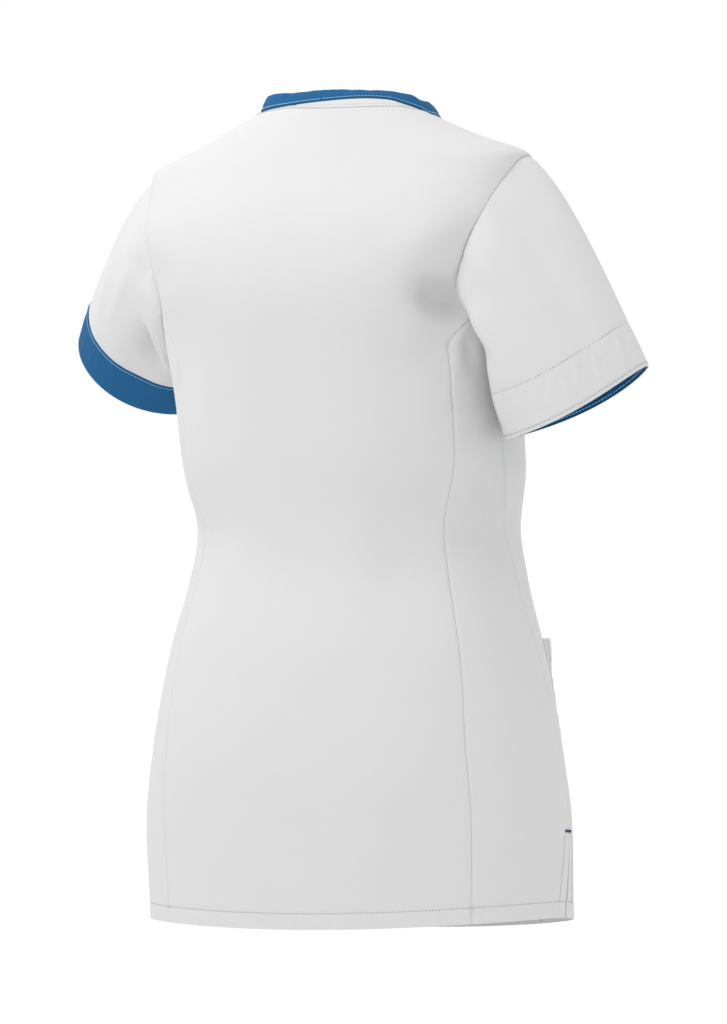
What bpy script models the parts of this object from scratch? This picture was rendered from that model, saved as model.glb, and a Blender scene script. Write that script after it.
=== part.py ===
"""Short-sleeved medical tunic, worn form, hollow: cloth walls cut as the sewn pieces.

Metres, +Z up, the front faces -Y and the wearer's left is +X. The origin is the point
between the two shoulder neck points, where the wearer holds the garment up.
"""
import math
from collections import namedtuple

import bpy
import numpy as np

WALL = 0.0015
BAND_WALL = 0.0018
FACING_WALL = 0.0010
SEAM, MOST_SLANT = 0.00030, 1.4
HEM = -0.728
TIP = -0.052

Ring = namedtuple(
    "Ring", "height half_width side_y back_depth front_depth back_power front_power")
TORSO = [
    Ring(-0.728, 0.202, 0.002, 0.108, 0.144, 2.25, 2.20),
    Ring(-0.650, 0.205, 0.005, 0.115, 0.136, 2.15, 2.10),
    Ring(-0.570, 0.194, 0.006, 0.121, 0.130, 2.25, 2.20),
    Ring(-0.490, 0.178, 0.006, 0.116, 0.121, 2.25, 2.25),
    Ring(-0.420, 0.159, 0.001, 0.109, 0.107, 2.25, 2.25),
    Ring(-0.376, 0.151, -0.003, 0.1145, 0.100, 2.30, 2.25),
    Ring(-0.320, 0.160, 0.009, 0.1115, 0.107, 2.40, 2.30),
    Ring(-0.260, 0.163, 0.020, 0.109, 0.104, 2.40, 2.30),
    Ring(-0.205, 0.167, 0.029, 0.108, 0.106, 2.55, 2.40),
    Ring(-0.170, 0.167, 0.036, 0.106, 0.106, 2.90, 2.50),
    Ring(-0.137, 0.173, 0.038, 0.102, 0.102, 3.35, 2.60),
    Ring(-0.100, 0.183, 0.038, 0.093, 0.096, 3.30, 2.60),
    Ring(-0.075, 0.184, 0.037, 0.082, 0.086, 2.80, 2.42),
    Ring(-0.052, 0.187, 0.036, 0.070, 0.074, 2.38, 2.22),
    Ring(-0.026, 0.136, 0.030, 0.062, 0.066, 2.12, 2.08),
    Ring(0.000, 0.084, 0.022, 0.056, 0.058, 2.00, 2.00),
]

# The cut's bust shaping and the largest soft hollows: angle, height, half sizes, depth in.
Hollow = namedtuple("Hollow", "angle height wide tall depth")
HOLLOWS = [
    Hollow(2.42, -0.165, 0.17, 0.045, 0.0080),
    Hollow(2.25, -0.412, 0.26, 0.060, 0.0058),
    Hollow(0.78, -0.215, 0.20, 0.050, 0.0045),
    Hollow(0.90, -0.390, 0.18, 0.050, 0.0035),
    Hollow(-1.571, -0.430, 0.30, 0.080, 0.0035),
]
BUST_OUT, BUST_X, BUST_HEIGHT, BUST_WIDE, BUST_TALL = 0.022, 0.055, -0.300, 0.080, 0.085
# The hem dips at the front and back, more and more from the waist down.
HEM_DIP, DIP_FROM, DIP_FADE = 0.0105, -0.42, 0.30

# The back neckline rides up off the shoulders, and the neckband leans in over it.
NeckRow = namedtuple("NeckRow", "angle lift lean")
NECK = [
    NeckRow(-0.80, 0.0000, 25), NeckRow(0.00, 0.0015, 20), NeckRow(0.52, 0.0038, 22),
    NeckRow(1.05, 0.0052, 32), NeckRow(1.57, 0.0074, 42), NeckRow(2.09, 0.0092, 56),
    NeckRow(2.36, 0.0082, 53), NeckRow(2.62, 0.0038, 42), NeckRow(2.88, -0.0004, 34),
    NeckRow(3.14, -0.0042, 31), NeckRow(3.94, 0.0000, 25),
]
NECK_FADE, NECK_WIDTH, NECK_Y = 0.060, 0.0148, 0.022
# The wearer's right shoulder is held a little higher than the left one.
TIP_LIFT = 0.0055
# The back's columns also carry the neckband's and the strip's, so that their edges follow.
BACK_COLUMNS = 20
COLUMN = math.pi / BACK_COLUMNS
STRIP_CENTRE, STRIP_HALF, STRIP_DEEP = 13 * COLUMN, 5.5 * COLUMN, 0.0056
STRIP_REACH, STRIP_FADE = 5, 0.045

# Angle round the body from the side line: back seams are positive, front seams negative.
Seam = namedtuple("Seam", "height angle")
BACK_PRINCESS = [
    Seam(-0.728, 0.755), Seam(-0.650, 0.740), Seam(-0.570, 0.720), Seam(-0.490, 0.686),
    Seam(-0.376, 0.672), Seam(-0.300, 0.632), Seam(-0.245, 0.645), Seam(-0.220, 0.660),
    Seam(-0.206, 0.590), Seam(-0.192, 0.465),
]
SIDE = [
    Seam(-0.728, -0.100), Seam(-0.650, -0.170), Seam(-0.570, -0.180), Seam(-0.440, -0.030),
    Seam(-0.320, 0.140), Seam(-0.216, 0.240),
]
FRONT_PRINCESS = [
    Seam(-0.728, -0.900), Seam(-0.600, -0.880), Seam(-0.500, -0.820), Seam(-0.420, -0.720),
    Seam(-0.370, -0.560), Seam(-0.336, -0.360), Seam(-0.305, -0.210), Seam(-0.270, -0.150),
    Seam(-0.219, -0.110),
]
# The armhole on the body: shoulder tip, down the back, underarm, up the front.
ARMHOLE = [
    Seam(-0.052, 0.00), Seam(-0.056, 0.19), Seam(-0.068, 0.34), Seam(-0.086, 0.50),
    Seam(-0.110, 0.60), Seam(-0.142, 0.61), Seam(-0.173, 0.575), Seam(-0.192, 0.465),
    Seam(-0.210, 0.32), Seam(-0.2165, 0.19), Seam(-0.219, 0.04), Seam(-0.2195, -0.11),
    Seam(-0.214, -0.26), Seam(-0.198, -0.41), Seam(-0.172, -0.55), Seam(-0.140, -0.60),
    Seam(-0.108, -0.58), Seam(-0.080, -0.44), Seam(-0.056, -0.19),
]
BACK_JOIN, SIDE_JOIN, FRONT_JOIN = 7, 8.6, 11
# Side vents: top, how far each edge stands back, and cloth run for each radian near the side.
VENT_TOP, VENT_OPEN, VENT_FADE, SIDE_RUN = -0.651, 0.0022, 0.060, 0.13

# Patch pockets: bottom height, tallness, edge angles at the top and gape of the mouth.
POCKET_LOW, POCKET_TALL = -0.655, 0.178
POCKET_OUTER, POCKET_TAPER, POCKET_INNER = -0.39, 0.10, -1.19
POCKET_GAPE = 0.0080

V_NECK = [(0.000, 0.0815), (-0.030, 0.068), (-0.060, 0.0525), (-0.100, 0.0300), (-0.148, 0.0)]

# Sleeves: cuff centre, lean of the arm, and how the cloth leaves the armhole: outward and
# rearward leads, and lengths of the lead at the underarm and at the sides.
Sleeve = namedtuple(
    "Sleeve", "hand centre spread forward twist under_out side_out rear under side under_end")
SLEEVE_LEFT = Sleeve(
    1, (0.2500, -0.0620, -0.2187), 31.4, 35.0, -2.0, 1.70, 0.85, 0.0, 0.10, 0.12, 0.10)
SLEEVE_RIGHT = Sleeve(
    -1, (0.2405, 0.0400, -0.2731), 24.2, 12.5, -13.7, -0.30, 0.64, 2.9, 0.16, 0.06, 0.055)
CUFF_TALL, CUFF_DEEP, CUFF_DIP = 0.0726, 0.0572, 0.008
CUFF_BAND = 0.040


def smooth(x):
    x = np.clip(x, 0.0, 1.0)
    return x * x * (3.0 - 2.0 * x)


def table(xs, ys, x):
    """Smooth curve through a short table, with no overshoot between rows."""
    xs, ys, x = np.asarray(xs, float), np.asarray(ys, float), np.asarray(x, float)
    if xs[0] > xs[-1]:
        xs, ys = xs[::-1], ys[::-1]
    step = np.diff(xs)
    rise = np.diff(ys) / step
    slope = np.zeros_like(ys)
    slope[0], slope[-1] = rise[0], rise[-1]
    for i in range(1, len(ys) - 1):
        if rise[i - 1] * rise[i] > 0:
            near, far = 2 * step[i] + step[i - 1], step[i] + 2 * step[i - 1]
            slope[i] = 3 * (step[i - 1] + step[i]) / (near / rise[i - 1] + far / rise[i])
    x = np.clip(x, xs[0], xs[-1])
    i = np.clip(np.searchsorted(xs, x) - 1, 0, len(xs) - 2)
    t = (x - xs[i]) / step[i]
    return ((2 * t**3 - 3 * t**2 + 1) * ys[i] + (t**3 - 2 * t**2 + t) * step[i] * slope[i]
            + (3 * t**2 - 2 * t**3) * ys[i + 1] + (t**3 - t**2) * step[i] * slope[i + 1])


def ring_value(field, height):
    return table([r.height for r in TORSO], [getattr(r, field) for r in TORSO], height)


def seam_angle(seam, height):
    return table([s.height for s in seam], [s.angle for s in seam], height)


def neck_value(field, angle):
    """Neckline lift or neckband lean at an angle round the body."""
    turn = (angle + math.pi / 2) % (2 * math.pi) - math.pi / 2
    return table([r.angle for r in NECK], [getattr(r, field) for r in NECK], turn)


def worn_lift(angle, height):
    """How far the worn neckline and the right shoulder stand up off the even form."""
    turn = angle % (2 * math.pi) - math.pi
    tip = TIP_LIFT * np.exp(-(turn / 0.6)**2 - ((height - TIP) / 0.035)**2)
    return tip + neck_value("lift", angle) * smooth((height + NECK_FADE) / NECK_FADE)


def even_torso(angle, height):
    """The body form before the worn neckline's lift, the same on both sides above the bust."""
    angle, height = np.broadcast_arrays(np.asarray(angle, float), np.asarray(height, float))
    sin, cos = np.sin(angle), np.cos(angle)
    back = sin > 0
    depth = np.where(back, ring_value("back_depth", height), ring_value("front_depth", height))
    power = np.where(back, ring_value("back_power", height), ring_value("front_power", height))
    reach = (np.abs(cos)**power + np.abs(sin)**power)**(-1 / power)
    x = ring_value("half_width", height) * cos * reach
    y = depth * sin * reach
    inward = np.zeros_like(x)
    for h in HOLLOWS:
        turn = (angle - h.angle + math.pi) % (2 * math.pi) - math.pi
        inward += h.depth * np.exp(-(turn / h.wide)**2 - ((height - h.height) / h.tall)**2)
    size = np.hypot(x, y)
    x, y = x * (1 - inward / size), y * (1 - inward / size)
    bust = np.exp(-((np.abs(x) - BUST_X) / BUST_WIDE)**2
                  - ((height - BUST_HEIGHT) / BUST_TALL)**2)
    y = y + ring_value("side_y", height) + BUST_OUT * bust * np.minimum(sin, 0)
    z = height - HEM_DIP * sin**2 * smooth((DIP_FROM - height) / DIP_FADE)
    return np.stack([x, y, z], -1)


def torso(angle, height):
    """Point of the worn body form at an angle from the side line and a height."""
    angle, height = np.broadcast_arrays(np.asarray(angle, float), np.asarray(height, float))
    point = even_torso(angle, height)
    point[..., 2] += worn_lift(angle, height)
    return point


def unit(v):
    return v / np.linalg.norm(v, axis=-1, keepdims=True)


def torso_normal(angle, height):
    step = 0.0005
    height = np.clip(height, HEM + step, -step)
    along = torso(angle + step, height) - torso(angle - step, height)
    up = torso(angle, height + step) - torso(angle, height - step)
    return unit(np.cross(along, up))


def armhole_seam(place):
    """Angle and height at a place counted in rows of the closed armhole table."""
    rows = np.array([(s.angle, s.height) for s in ARMHOLE])
    n = len(rows)
    place = np.asarray(place, float) % n
    i = np.floor(place).astype(int)
    t = (place - i)[..., None]
    a, b, c, d = rows[(i - 1) % n], rows[i % n], rows[(i + 1) % n], rows[(i + 2) % n]
    q = 0.5 * (2 * b + (c - a) * t + (2 * a - 5 * b + 4 * c - d) * t**2
               + (3 * b - a - 3 * c + d) * t**3)
    return q[..., 0], q[..., 1]


ARMHOLE_PLACES = np.linspace(0, len(ARMHOLE), 1201)
ARMHOLE_POINTS = torso(*armhole_seam(ARMHOLE_PLACES))
ARMHOLE_RUN = np.concatenate(
    [[0], np.cumsum(np.linalg.norm(np.diff(ARMHOLE_POINTS, axis=0), axis=1))])
UNDERARM_RUN = ARMHOLE_RUN[np.argmin(ARMHOLE_POINTS[:, 2])]


def armhole_place(turn):
    """Armhole place for a sleeve turn: 0 at the shoulder tip, 0.5 at the underarm."""
    first = turn / 0.5 * UNDERARM_RUN
    second = UNDERARM_RUN + (turn - 0.5) / 0.5 * (ARMHOLE_RUN[-1] - UNDERARM_RUN)
    return np.interp(np.where(turn < 0.5, first, second), ARMHOLE_RUN, ARMHOLE_PLACES)


def sleeve_seam(sleeve, turn):
    """Armhole angle and height of a sleeve turn, on the sleeve's own side."""
    angle, height = armhole_seam(armhole_place(turn))
    return (angle if sleeve.hand > 0 else math.pi - angle), height


def sleeve_turns():
    """Sleeve turns that meet the corner points of the pieces round the armhole."""
    places = np.concatenate([
        np.linspace(0, BACK_JOIN, 12)[:-1], np.linspace(BACK_JOIN, SIDE_JOIN, 8)[:-1],
        np.linspace(SIDE_JOIN, FRONT_JOIN, 8)[:-1],
        np.linspace(FRONT_JOIN, len(ARMHOLE), 14)[:-1]])
    run = np.interp(places, ARMHOLE_PLACES, ARMHOLE_RUN)
    rest = ARMHOLE_RUN[-1] - UNDERARM_RUN
    return np.where(run < UNDERARM_RUN, 0.5 * run / UNDERARM_RUN,
                    0.5 + 0.5 * (run - UNDERARM_RUN) / rest)


def sleeve_point(sleeve, turn, along):
    """Sleeve form: along 0 is the armhole seam and along 1 the cuff edge."""
    turn, along = np.broadcast_arrays(np.asarray(turn, float), np.asarray(along, float))
    spread, forward = math.radians(sleeve.spread), math.radians(sleeve.forward)
    axis = np.array([math.sin(spread), -math.sin(forward) * math.cos(spread),
                     -math.cos(forward) * math.cos(spread)])
    up = np.array([math.cos(spread), math.sin(forward) * math.sin(spread),
                   math.cos(forward) * math.sin(spread)])
    back = np.cross(up, axis)
    twist = math.radians(sleeve.twist)
    tall = up * math.cos(twist) + back * math.sin(twist)
    deep = back * math.cos(twist) - up * math.sin(twist)
    mirror = np.array([sleeve.hand, 1, 1])
    start = torso(*sleeve_seam(sleeve, turn)) * mirror
    a = 2 * math.pi * turn
    cos, sin = np.cos(a)[..., None], np.sin(a)[..., None]
    end = (np.array(sleeve.centre) + CUFF_TALL * cos * tall + CUFF_DEEP * sin * deep
           + CUFF_DIP * (sin**2 - 0.5) * axis)
    top, low = np.clip(cos, 0, 1), np.clip(-cos, 0, 1)
    side = 1 - top - low
    out = 0.95 * top + sleeve.side_out * side + sleeve.under_out * low
    rear = sleeve.rear * np.clip(sin, 0, 1) * np.clip(1 - 1.5 * top, 0, 1)
    lead = unit(axis + out * np.array([1.0, 0.0, 0.0]) + rear * np.array([0.0, 1.0, 0.0]))
    leave = lead * (0.13 * top + sleeve.side * side + sleeve.under * low)
    arrive = axis * (0.17 * top + 0.14 * side + sleeve.under_end * low)
    v = along[..., None]
    p = ((2 * v**3 - 3 * v**2 + 1) * start + (v**3 - 2 * v**2 + v) * leave
         + (3 * v**2 - 2 * v**3) * end + (v**3 - v**2) * arrive)
    return p * mirror


def sleeve_normal(sleeve, turn, along):
    step = 0.001
    near, far = np.clip(along - step, 0, 1), np.clip(along + step, 0, 1)
    down = sleeve_point(sleeve, turn, far) - sleeve_point(sleeve, turn, near)
    around = sleeve_point(sleeve, (turn + step) % 1, along) - sleeve_point(
        sleeve, (turn - step) % 1, along)
    return unit(np.cross(down, around)) * sleeve.hand


def grid_faces(rows, cols, closed=False):
    faces = []
    for i in range(rows - 1):
        for j in range(cols if closed else cols - 1):
            k = (j + 1) % cols
            faces.append((i * cols + j, i * cols + k, (i + 1) * cols + k, (i + 1) * cols + j))
    return faces


def wall(name, outer, inner, faces, material):
    """Closed cloth wall from matching outer and inner points and the outer faces."""
    outer, inner = outer.reshape(-1, 3), inner.reshape(-1, 3)
    n = len(outer)
    edges = {}
    for face in faces:
        for a, b in zip(face, face[1:] + face[:1]):
            edges[(a, b)] = True
    rim = [(b, a, a + n, b + n) for a, b in edges if (b, a) not in edges]
    body = list(faces) + [tuple(i + n for i in reversed(f)) for f in faces] + rim
    mesh = bpy.data.meshes.new(name)
    mesh.from_pydata(np.concatenate([outer, inner]).tolist(), [], body)
    mesh.update()
    centre = outer[list(faces[0])].mean(0) - inner[list(faces[0])].mean(0)
    if np.dot(np.array(mesh.polygons[0].normal), centre) < 0:
        mesh.flip_normals()
    mesh.materials.append(material)
    item = bpy.data.objects.new(name, mesh)
    bpy.context.collection.objects.link(item)
    return item


def fabric(name, colour):
    material = bpy.data.materials.new(name)
    material.use_nodes = True
    shader = material.node_tree.nodes["Principled BSDF"]
    shader.inputs["Base Color"].default_value = (*colour, 1.0)
    shader.inputs["Roughness"].default_value = 0.85
    material.diffuse_color = (*colour, 1.0)
    return material


def body_wall(name, angle, height, faces, material):
    """Body piece from angles and heights, on either side of the body."""
    outer = torso(angle, height)
    inner = outer - WALL * torso_normal(angle, height)
    return wall(name, outer, inner, faces, material)


def seam_step(angle, height):
    """Angle that moves a point half a seam gap square off the seam, down its column."""
    run = np.linalg.norm(torso(angle + 0.001, height) - torso(angle, height), axis=-1) / 0.001
    slant = run * np.gradient(angle, axis=0) / np.gradient(height, axis=0)
    return 0.5 * SEAM * np.hypot(1, np.clip(slant, -MOST_SLANT, MOST_SLANT)) / run


def vent(height):
    """How far each side edge stands back from the side seam, in metres."""
    return VENT_OPEN * smooth((VENT_TOP - height) / VENT_FADE)


RISE = np.linspace(0, 1, 21)
ARMHOLE_GAP = 0.006


def crescent(angle):
    """Depth of the narrow piece between the back and the neckband."""
    share = (angle - STRIP_CENTRE) / STRIP_HALF
    return STRIP_DEEP * np.cos(0.5 * math.pi * np.clip(share, -1, 1))


def back_centre(material):
    places = np.linspace(BACK_JOIN, 0, 12)[1:]
    low = HEM + RISE * (ARMHOLE[BACK_JOIN].height - HEM)
    arm_angle, arm_height = armhole_seam(places)
    ridge = np.linspace(TIP, 0.0, 5)[1:]
    height = np.concatenate([low, arm_height, ridge])
    edge = np.concatenate([seam_angle(BACK_PRINCESS, low), arm_angle, np.zeros(len(ridge))])
    edge = edge + seam_step(edge, height)
    across = np.linspace(0, 1, BACK_COLUMNS + 1)
    angle = edge[:, None] + (math.pi - 2 * edge[:, None]) * across
    height = height[:, None] + 0 * angle
    drop = smooth((height + STRIP_FADE) / STRIP_FADE)
    height = height - drop * crescent(angle)
    return body_wall("back_centre", angle, height, grid_faces(*angle.shape), material)


def side_grid(edge_seam, join, side_seam, side_join, edge_sign):
    """Angles and heights of a side panel from its princess seam to the side seam."""
    across = np.linspace(0, 1, 8)
    top_angle, top_height = armhole_seam(join + across * (side_join - join))
    height = HEM + RISE[:, None] * (top_height - HEM)
    near = seam_angle(edge_seam, height)
    near = near + edge_sign * seam_step(near, height)
    far = seam_angle(side_seam, height)
    far = far - edge_sign * (seam_step(far, height) + vent(height) / SIDE_RUN)
    near_top, far_top = near[-1], far[-1]
    share_top = np.clip((top_angle - near_top) / (far_top - near_top), 0, 1)
    share_top[0], share_top[-1] = 0, 1
    blend = smooth((RISE[:, None] - 0.75) / 0.25)
    share = across + blend * (share_top - across)
    return near + share * (far - near), height


def body_pieces(white):
    back_centre(white)
    for side, word in ((1, "left"), (-1, "right")):
        for name, seam, join, sign in (("back_side", BACK_PRINCESS, BACK_JOIN, -1),
                                       ("front_side", FRONT_PRINCESS, FRONT_JOIN, 1)):
            angle, height = side_grid(seam, join, SIDE, SIDE_JOIN, sign)
            if side < 0:
                angle = math.pi - angle
            body_wall(f"{name}_{word}", angle, height, grid_faces(*angle.shape), white)
    front_centre(white)


def front_angle_at(x, height):
    """Front angle where the form is at distance x from the centre."""
    angles = np.linspace(-math.pi / 2, 0.0, 400)
    found = []
    for xi, hi in zip(np.atleast_1d(x), np.atleast_1d(height)):
        found.append(np.interp(xi, torso(angles, hi)[:, 0], angles))
    return np.array(found)


def v_edge(height):
    """Front angle of the V neckline at a height."""
    x = table([v[0] for v in V_NECK], [v[1] for v in V_NECK], height)
    return front_angle_at(x, height)


def front_rows():
    """Heights and side edge angles of the front centre, hem to neck, and the V row."""
    low = HEM + RISE * (ARMHOLE[FRONT_JOIN].height - HEM)
    places = np.linspace(FRONT_JOIN, len(ARMHOLE), 14)[1:]
    arm_angle, arm_height = armhole_seam(places)
    ridge = np.linspace(TIP, 0.0, 5)[1:]
    height = np.concatenate([low, arm_height, ridge])
    edge = np.concatenate([seam_angle(FRONT_PRINCESS, low), arm_angle, np.zeros(len(ridge))])
    split = int(np.argmin(np.abs(height - V_NECK[-1][0])))
    return height, edge - seam_step(edge, height), split


def front_centre(material):
    height, edge, split = front_rows()
    centre = np.full(len(height), -math.pi / 2)
    centre[split + 1:] = v_edge(height[split + 1:])
    across = np.linspace(0, 1, 11)
    left = edge[:, None] + (centre - edge)[:, None] * across
    tall = height[:, None] + 0 * left
    rows, cols = left.shape
    right = (math.pi - left) % (2 * math.pi) - 2 * math.pi
    angle = np.concatenate([left.ravel(), right.ravel()])
    both = np.concatenate([tall.ravel(), tall.ravel()])
    n = rows * cols
    same = {n + i * cols + cols - 1: i * cols + cols - 1 for i in range(split + 1)}
    faces = grid_faces(rows, cols)
    other = [tuple(same.get(i + n, i + n) for i in reversed(f)) for f in faces]
    used = sorted({i for f in faces + other for i in f})
    order = {old: new for new, old in enumerate(used)}
    faces = [tuple(order[i] for i in f) for f in faces + other]
    return body_wall("front_centre", angle[used], both[used], faces, material)


def cuff_place(sleeve, turn, distance):
    """Place along the sleeve at a cloth distance up from the cuff edge, for each turn."""
    along = np.linspace(0, 1, 61)
    points = sleeve_point(sleeve, turn[None, :], along[:, None])
    steps = np.linalg.norm(np.diff(points[::-1], axis=0), axis=-1).cumsum(0)
    return np.array([np.interp(distance, np.append(0, run), along[::-1]) for run in steps.T])


def sleeve_wall(name, sleeve, first, last, proud, thick, rows, material):
    """Ring of sleeve cloth between two distances up from the cuff edge, or the armhole."""
    turn = sleeve_turns()
    start = ARMHOLE_GAP + 0 * turn if first is None else cuff_place(sleeve, turn, first)
    end = cuff_place(sleeve, turn, last)
    along = start + (end - start) * np.linspace(0, 1, rows)[:, None]
    turn, along = np.broadcast_arrays(turn, along)
    normal = sleeve_normal(sleeve, turn, along)
    outer = sleeve_point(sleeve, turn, along) + proud * normal
    inward = normal.copy()
    if first is None:
        seam_normal = torso_normal(*sleeve_seam(sleeve, turn[0]))
        share = np.clip((seam_normal * normal[0]).sum(-1, keepdims=True) / 0.3, 0, 1)
        inward[0] = unit(share * seam_normal + (1 - share) * normal[0])
    faces = grid_faces(*turn.shape, closed=True)
    return wall(name, outer, outer - thick * inward, faces, material)


def sleeves(white, blue):
    over, under = CUFF_BAND + 0.5 * SEAM, CUFF_BAND - 0.5 * SEAM
    sleeve_wall("sleeve_left", SLEEVE_LEFT, None, over, 0, WALL, 9, white)
    sleeve_wall("cuff_left", SLEEVE_LEFT, under, 0, 0.0002, BAND_WALL, 3, blue)
    sleeve_wall("sleeve_right", SLEEVE_RIGHT, None, 0, 0, WALL, 11, white)
    sleeve_wall("cuff_facing_right", SLEEVE_RIGHT, CUFF_BAND, 0.0004, -(WALL + 0.0014),
                FACING_WALL, 3, blue)


def neckline():
    """Half of the neckline, centre back to V point: places 0 to 2, angles and heights."""
    height, _, split = front_rows()
    down = height[:split - 1:-1]
    front = v_edge(down)
    front[-1] = -math.pi / 2
    run = np.linalg.norm(np.diff(torso(front, down), axis=0), axis=1).cumsum()
    back = np.concatenate([COLUMN * np.arange(BACK_COLUMNS // 2, -1, -1), [front[0] / 2]])
    back_place = (back - math.pi / 2) / (front[0] - math.pi / 2)
    place = np.concatenate([back_place, [1], 1 + run / run[-1]])
    return place, np.concatenate([back, front]), np.concatenate([0 * back, down])


def band_edges(width, side):
    """Bottom and top edge of one half of the neckband, mitred at the V, and the seat's normal."""
    place, angle, height = neckline()
    low = even_torso(angle, height)
    normal = torso_normal(angle, height)
    run = np.gradient(low, axis=0)
    on_form = unit(np.cross(unit(run), normal))
    radial = unit(low * np.array([1, 1, 0]) - np.array([0, NECK_Y, 0]))
    round_neck = angle if side > 0 else math.pi - angle
    lean = np.radians(neck_value("lean", round_neck))[:, None]
    stand = np.array([0, 0, 1.0]) * np.cos(lean) - radial * np.sin(lean)
    share = smooth((place - 1.0) / 0.55)[:, None]
    top = low + width * unit((1 - share) * stand + share * on_form)
    last = int(np.argmax(top[:, 0] < 0)) if (top[1:, 0] < 0).any() else len(top) - 1
    a, b = top[last - 1], top[last]
    line = np.concatenate([top[place >= 1][:last - np.sum(place < 1)],
                           [a + (b - a) * a[0] / (a[0] - b[0])]])
    line_run = np.linalg.norm(np.diff(line, axis=0), axis=1).cumsum()
    line_place = np.concatenate([[1], 1 + line_run / line_run[-1]])
    for k in range(3):
        top[place >= 1, k] = np.interp(place[place >= 1], line_place, line[:, k])
    top[[0, -1], 0] = 0
    low[[0, -1], 0] = 0
    for edge in (low, top):
        edge[:, 2] += worn_lift(round_neck, height)
        edge[:, 0] *= side
    return low, top, torso_normal(round_neck, height)


def whole_loop(left, right):
    """Whole loop: centre back, left side, front, right side."""
    return np.concatenate([left, right[1:-1][::-1]])


def neckband(material):
    halves = zip(band_edges(NECK_WIDTH, 1), band_edges(NECK_WIDTH, -1))
    low, top, seat = (whole_loop(left, right) for left, right in halves)
    steps = np.linspace(SEAM / NECK_WIDTH, 1, 4)[:, None, None]
    outer = low + (top - low) * steps
    along = np.roll(outer, -1, axis=1) - np.roll(outer, 1, axis=1)
    rise = np.repeat((outer[-1] - outer[0])[None], len(outer), axis=0)
    normal = unit(np.cross(along, rise))
    toward = outer[0, 0] - np.array([0, NECK_Y, outer[0, 0, 2]])
    if np.dot(normal[0, 0], toward) < 0:
        normal = -normal
    inward = normal.copy()
    inward[0] = seat
    outer = outer + 0.0002 * inward
    faces = grid_faces(*outer.shape[:2], closed=True)
    return wall("neckband", outer, outer - BAND_WALL * inward, faces, material)


def back_neck_strip(material):
    angle = STRIP_CENTRE + COLUMN * np.arange(-STRIP_REACH, STRIP_REACH + 1)
    low = -crescent(angle) + SEAM
    rows = np.linspace(0, 1, 2)[:, None]
    height = low + rows * (-0.5 * SEAM - low)
    angle = np.broadcast_to(angle, height.shape)
    return body_wall("back_neck_strip", angle, height, grid_faces(*angle.shape), material)


def pocket(side, word, material):
    """Patch pocket: a sheet just off the front with its top edge standing open."""
    across = np.linspace(0, 1, 11)[None, :]
    rise = np.linspace(0, 1, 9)[:, None]
    height = POCKET_LOW + POCKET_TALL * rise + 0 * across
    outer_edge = POCKET_OUTER - POCKET_TAPER * smooth((1 - rise) / 0.35)
    angle = outer_edge + (POCKET_INNER - outer_edge) * across
    open_top = smooth((rise - 0.78) / 0.22) * np.clip(np.sin(math.pi * across), 0, 1)**0.35
    lift = 0.0006 + POCKET_GAPE * open_top + 0.0008 * smooth(rise * 6) * smooth(across * 8)
    if side < 0:
        angle = math.pi - angle
    base = torso(angle, height)
    normal = torso_normal(angle, height)
    inner = base + lift[..., None] * normal
    return wall(f"pocket_{word}", inner + 0.0012 * normal, inner, grid_faces(*angle.shape),
                material)


def main():
    for item in list(bpy.data.objects):
        bpy.data.objects.remove(item, do_unlink=True)
    white = fabric("white_cloth", (0.86, 0.87, 0.88))
    blue = fabric("blue_cloth", (0.035, 0.16, 0.34))
    body_pieces(white)
    sleeves(white, blue)
    neckband(blue)
    back_neck_strip(white)
    pocket(1, "left", white)
    pocket(-1, "right", white)


main()
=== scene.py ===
"""Looks of the medical tunic: finished cloth pieces, sewing, cloth materials, light and camera."""
import math
from collections import namedtuple

import bpy
import numpy as np
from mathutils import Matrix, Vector


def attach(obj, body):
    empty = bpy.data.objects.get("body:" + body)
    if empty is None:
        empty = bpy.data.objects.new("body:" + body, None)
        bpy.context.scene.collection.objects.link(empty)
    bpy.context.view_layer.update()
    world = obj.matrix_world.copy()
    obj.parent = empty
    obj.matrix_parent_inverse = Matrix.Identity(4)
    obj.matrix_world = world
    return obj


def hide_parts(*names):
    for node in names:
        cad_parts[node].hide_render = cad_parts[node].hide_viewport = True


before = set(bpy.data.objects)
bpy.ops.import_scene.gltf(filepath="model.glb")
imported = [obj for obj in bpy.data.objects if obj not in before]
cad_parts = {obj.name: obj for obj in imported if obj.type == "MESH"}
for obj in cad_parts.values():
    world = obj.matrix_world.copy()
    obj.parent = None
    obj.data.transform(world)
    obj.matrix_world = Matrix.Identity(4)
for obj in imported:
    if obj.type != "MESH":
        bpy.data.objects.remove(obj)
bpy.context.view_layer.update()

# Form of the worn garment, from the same named rows as the solids.
WALL = 0.0012
HEM = -0.728
TIP = -0.052
HEM_DIP, DIP_FROM, DIP_FADE = 0.0105, -0.42, 0.30

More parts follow.
